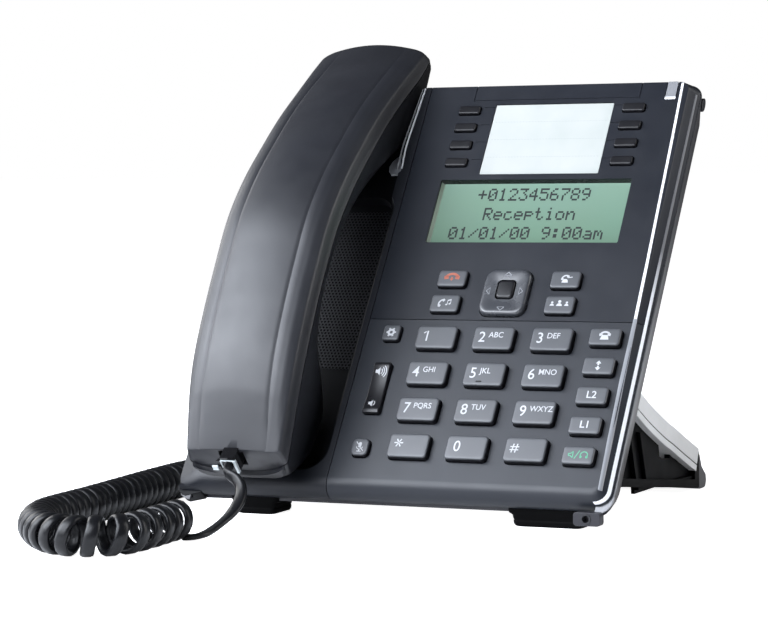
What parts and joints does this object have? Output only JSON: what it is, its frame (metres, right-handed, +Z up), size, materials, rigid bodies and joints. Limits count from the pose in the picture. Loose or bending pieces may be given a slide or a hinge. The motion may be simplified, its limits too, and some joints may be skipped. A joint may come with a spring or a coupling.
{
  "type": "desk ip phone",
  "caption": "Tilted desk telephone with a lift-off corded handset, sprung keys, a rocking navigation ring and volume key, a small display and a rear stand.",
  "frame": {"origin": "centre of the phone's footprint on the desk, at the feet's undersides, measured without the handset cord", "axes": "+X to the user's right, +Y away from the user, +Z up; the keys face -Y and upwards"},
  "size_m": [0.2074, 0.2556, 0.1821],
  "materials": {
    "panel_plastic": "fine-textured, slightly blue dark grey moulding",
    "shell_plastic": "fine-textured charcoal moulding",
    "key_plastic": "smooth dark grey keys with printed legends",
    "gloss_black": "polished near-black plastic",
    "silver_trim": "bright silver plated plastic strip",
    "display_glass": "clear flat display window",
    "display_unit": "reflective green liquid-crystal module",
    "label_sheet": "white printable card",
    "lamp_lens": "frosted translucent lens",
    "circuit_board": "green laminate board with black jacks",
    "key_rubber": "grey silicone sheet",
    "speaker_metal": "dark coated loudspeaker basket",
    "stand_plastic": "black satin moulding with silver-grey bows",
    "foot_rubber": "matt rubber",
    "clear_plug": "clear modular plug",
    "cord_jacket": "satin black flexible jacket"
  },
  "bodies": {
    "base": {"back_cover": "shell_plastic", "display_panel": "panel_plastic", "keypad_panel": "panel_plastic", "cradle_shell": "shell_plastic", "edge_trim": "silver_trim", "lcd_window": "display_glass", "lcd_module": "display_unit", "label_card": "label_sheet", "message_lamp": "lamp_lens", "main_board": "circuit_board", "key_mat": "key_rubber", "loudspeaker": "speaker_metal", "stand_frame": "stand_plastic", "rear_foot": "foot_rubber", "front_foot_left": "foot_rubber", "front_foot_right": "foot_rubber", "base_plug": "clear_plug", "cord_lead": "cord_jacket", "cord_coil": "cord_jacket", "cord_tail": "cord_jacket"},
    "handset": {"handset_top_shell": "shell_plastic", "handset_bottom_shell": "shell_plastic", "earpiece": "speaker_metal", "microphone": "speaker_metal", "handset_plug": "clear_plug"},
    "hook": {"hook_switch": "gloss_black"},
    "key_1": {"key_1": "key_plastic"},
    "key_2": {"key_2": "key_plastic"},
    "key_3": {"key_3": "key_plastic"},
    "key_4": {"key_4": "key_plastic"},
    "key_5": {"key_5": "key_plastic"},
    "key_6": {"key_6": "key_plastic"},
    "key_7": {"key_7": "key_plastic"},
    "key_8": {"key_8": "key_plastic"},
    "key_9": {"key_9": "key_plastic"},
    "key_star": {"key_star": "key_plastic"},
    "key_0": {"key_0": "key_plastic"},
    "key_hash": {"key_hash": "key_plastic"},
    "key_directory": {"key_directory": "key_plastic"},
    "key_scroll": {"key_scroll": "key_plastic"},
    "key_line_2": {"key_line_2": "key_plastic"},
    "key_line_1": {"key_line_1": "key_plastic"},
    "key_speaker": {"key_speaker": "key_plastic"},
    "key_settings": {"key_settings": "key_plastic"},
    "key_mute": {"key_mute": "key_plastic"},
    "key_goodbye": {"key_goodbye": "key_plastic"},
    "key_redial": {"key_redial": "key_plastic"},
    "key_transfer": {"key_transfer": "key_plastic"},
    "key_conference": {"key_conference": "key_plastic"},
    "line_key_left_1": {"line_key_left_1": "key_plastic"},
    "line_key_left_2": {"line_key_left_2": "key_plastic"},
    "line_key_left_3": {"line_key_left_3": "key_plastic"},
    "line_key_left_4": {"line_key_left_4": "key_plastic"},
    "line_key_right_1": {"line_key_right_1": "key_plastic"},
    "line_key_right_2": {"line_key_right_2": "key_plastic"},
    "line_key_right_3": {"line_key_right_3": "key_plastic"},
    "line_key_right_4": {"line_key_right_4": "key_plastic"},
    "nav_select": {"nav_select": "gloss_black"},
    "nav_ring": {"nav_ring": "gloss_black"},
    "volume_rocker": {"volume_rocker": "gloss_black"}
  },
  "joints": [
    {"name": "handset_lift", "type": "slide", "parent": "base", "child": "handset", "axis": [0, -0.8221, 0.5693], "range_m": [0, 0.06]},
    {"name": "hook_switch_travel", "type": "slide", "parent": "base", "child": "hook", "axis": [0, -0.8221, 0.5693], "range_m": [0, 0.004]},
    {"name": "key_1_press", "type": "slide", "parent": "base", "child": "key_1", "axis": [0, 0.8221, -0.5693], "range_m": [0, 0.0012], "stiffness_N_per_m": 300, "springref_m": -0.0004},
    {"name": "key_2_press", "type": "slide", "parent": "base", "child": "key_2", "axis": [0, 0.8221, -0.5693], "range_m": [0, 0.0012], "stiffness_N_per_m": 300, "springref_m": -0.0004},
    {"name": "key_3_press", "type": "slide", "parent": "base", "child": "key_3", "axis": [0, 0.8221, -0.5693], "range_m": [0, 0.0012], "stiffness_N_per_m": 300, "springref_m": -0.0004},
    {"name": "key_4_press", "type": "slide", "parent": "base", "child": "key_4", "axis": [0, 0.8221, -0.5693], "range_m": [0, 0.0012], "stiffness_N_per_m": 300, "springref_m": -0.0004},
    {"name": "key_5_press", "type": "slide", "parent": "base", "child": "key_5", "axis": [0, 0.8221, -0.5693], "range_m": [0, 0.0012], "stiffness_N_per_m": 300, "springref_m": -0.0004},
    {"name": "key_6_press", "type": "slide", "parent": "base", "child": "key_6", "axis": [0, 0.8221, -0.5693], "range_m": [0, 0.0012], "stiffness_N_per_m": 300, "springref_m": -0.0004},
    {"name": "key_7_press", "type": "slide", "parent": "base", "child": "key_7", "axis": [0, 0.8221, -0.5693], "range_m": [0, 0.0012], "stiffness_N_per_m": 300, "springref_m": -0.0004},
    {"name": "key_8_press", "type": "slide", "parent": "base", "child": "key_8", "axis": [0, 0.8221, -0.5693], "range_m": [0, 0.0012], "stiffness_N_per_m": 300, "springref_m": -0.0004},
    {"name": "key_9_press", "type": "slide", "parent": "base", "child": "key_9", "axis": [0, 0.8221, -0.5693], "range_m": [0, 0.0012], "stiffness_N_per_m": 300, "springref_m": -0.0004},
    {"name": "key_star_press", "type": "slide", "parent": "base", "child": "key_star", "axis": [0, 0.8221, -0.5693], "range_m": [0, 0.0012], "stiffness_N_per_m": 300, "springref_m": -0.0004},
    {"name": "key_0_press", "type": "slide", "parent": "base", "child": "key_0", "axis": [0, 0.8221, -0.5693], "range_m": [0, 0.0012], "stiffness_N_per_m": 300, "springref_m": -0.0004},
    {"name": "key_hash_press", "type": "slide", "parent": "base", "child": "key_hash", "axis": [0, 0.8221, -0.5693], "range_m": [0, 0.0012], "stiffness_N_per_m": 300, "springref_m": -0.0004},
    {"name": "key_directory_press", "type": "slide", "parent": "base", "child": "key_directory", "axis": [0, 0.8221, -0.5693], "range_m": [0, 0.0012], "stiffness_N_per_m": 300, "springref_m": -0.0004},
    {"name": "key_scroll_press", "type": "slide", "parent": "base", "child": "key_scroll", "axis": [0, 0.8221, -0.5693], "range_m": [0, 0.0012], "stiffness_N_per_m": 300, "springref_m": -0.0004},
    {"name": "key_line_2_press", "type": "slide", "parent": "base", "child": "key_line_2", "axis": [0, 0.8221, -0.5693], "range_m": [0, 0.0012], "stiffness_N_per_m": 300, "springref_m": -0.0004},
    {"name": "key_line_1_press", "type": "slide", "parent": "base", "child": "key_line_1", "axis": [0, 0.8221, -0.5693], "range_m": [0, 0.0012], "stiffness_N_per_m": 300, "springref_m": -0.0004},
    {"name": "key_speaker_press", "type": "slide", "parent": "base", "child": "key_speaker", "axis": [0, 0.8221, -0.5693], "range_m": [0, 0.0012], "stiffness_N_per_m": 300, "springref_m": -0.0004},
    {"name": "key_settings_press", "type": "slide", "parent": "base", "child": "key_settings", "axis": [0, 0.8221, -0.5693], "range_m": [0, 0.0012], "stiffness_N_per_m": 300, "springref_m": -0.0004},
    {"name": "key_mute_press", "type": "slide", "parent": "base", "child": "key_mute", "axis": [0, 0.8221, -0.5693], "range_m": [0, 0.0012], "stiffness_N_per_m": 300, "springref_m": -0.0004},
    {"name": "key_goodbye_press", "type": "slide", "parent": "base", "child": "key_goodbye", "axis": [0, 0.8221, -0.5693], "range_m": [0, 0.0012], "stiffness_N_per_m": 300, "springref_m": -0.0004},
    {"name": "key_redial_press", "type": "slide", "parent": "base", "child": "key_redial", "axis": [0, 0.8221, -0.5693], "range_m": [0, 0.0012], "stiffness_N_per_m": 300, "springref_m": -0.0004},
    {"name": "key_transfer_press", "type": "slide", "parent": "base", "child": "key_transfer", "axis": [0, 0.8221, -0.5693], "range_m": [0, 0.0012], "stiffness_N_per_m": 300, "springref_m": -0.0004},
    {"name": "key_conference_press", "type": "slide", "parent": "base", "child": "key_conference", "axis": [0, 0.8221, -0.5693], "range_m": [0, 0.0012], "stiffness_N_per_m": 300, "springref_m": -0.0004},
    {"name": "line_key_left_1_press", "type": "slide", "parent": "base", "child": "line_key_left_1", "axis": [0, 0.8221, -0.5693], "range_m": [0, 0.0012], "stiffness_N_per_m": 300, "springref_m": -0.0004},
    {"name": "line_key_left_2_press", "type": "slide", "parent": "base", "child": "line_key_left_2", "axis": [0, 0.8221, -0.5693], "range_m": [0, 0.0012], "stiffness_N_per_m": 300, "springref_m": -0.0004},
    {"name": "line_key_left_3_press", "type": "slide", "parent": "base", "child": "line_key_left_3", "axis": [0, 0.8221, -0.5693], "range_m": [0, 0.0012], "stiffness_N_per_m": 300, "springref_m": -0.0004},
    {"name": "line_key_left_4_press", "type": "slide", "parent": "base", "child": "line_key_left_4", "axis": [0, 0.8221, -0.5693], "range_m": [0, 0.0012], "stiffness_N_per_m": 300, "springref_m": -0.0004},
    {"name": "line_key_right_1_press", "type": "slide", "parent": "base", "child": "line_key_right_1", "axis": [0, 0.8221, -0.5693], "range_m": [0, 0.0012], "stiffness_N_per_m": 300, "springref_m": -0.0004},
    {"name": "line_key_right_2_press", "type": "slide", "parent": "base", "child": "line_key_right_2", "axis": [0, 0.8221, -0.5693], "range_m": [0, 0.0012], "stiffness_N_per_m": 300, "springref_m": -0.0004},
    {"name": "line_key_right_3_press", "type": "slide", "parent": "base", "child": "line_key_right_3", "axis": [0, 0.8221, -0.5693], "range_m": [0, 0.0012], "stiffness_N_per_m": 300, "springref_m": -0.0004},
    {"name": "line_key_right_4_press", "type": "slide", "parent": "base", "child": "line_key_right_4", "axis": [0, 0.8221, -0.5693], "range_m": [0, 0.0012], "stiffness_N_per_m": 300, "springref_m": -0.0004},
    {"name": "nav_select_press", "type": "slide", "parent": "base", "child": "nav_select", "axis": [0, 0.8221, -0.5693], "range_m": [0, 0.0012], "stiffness_N_per_m": 300, "springref_m": -0.0004},
    {"name": "nav_ring_rock", "type": "hinge", "parent": "base", "child": "nav_ring", "pos_m": [0.0309, -0.00981, 0.08347], "axis": [1, 0, 0], "range_deg": [-3, 3], "stiffness_Nm_per_rad": 0.1},
    {"name": "volume_rock", "type": "hinge", "parent": "base", "child": "volume_rocker", "pos_m": [-0.013, -0.03451, 0.04779], "axis": [1, 0, 0], "range_deg": [-4, 4], "stiffness_Nm_per_rad": 0.08}
  ],
  "couplings": [
    {"joint": "hook_switch_travel", "follows": "handset_lift", "ratio": 0.066667}
  ]
}
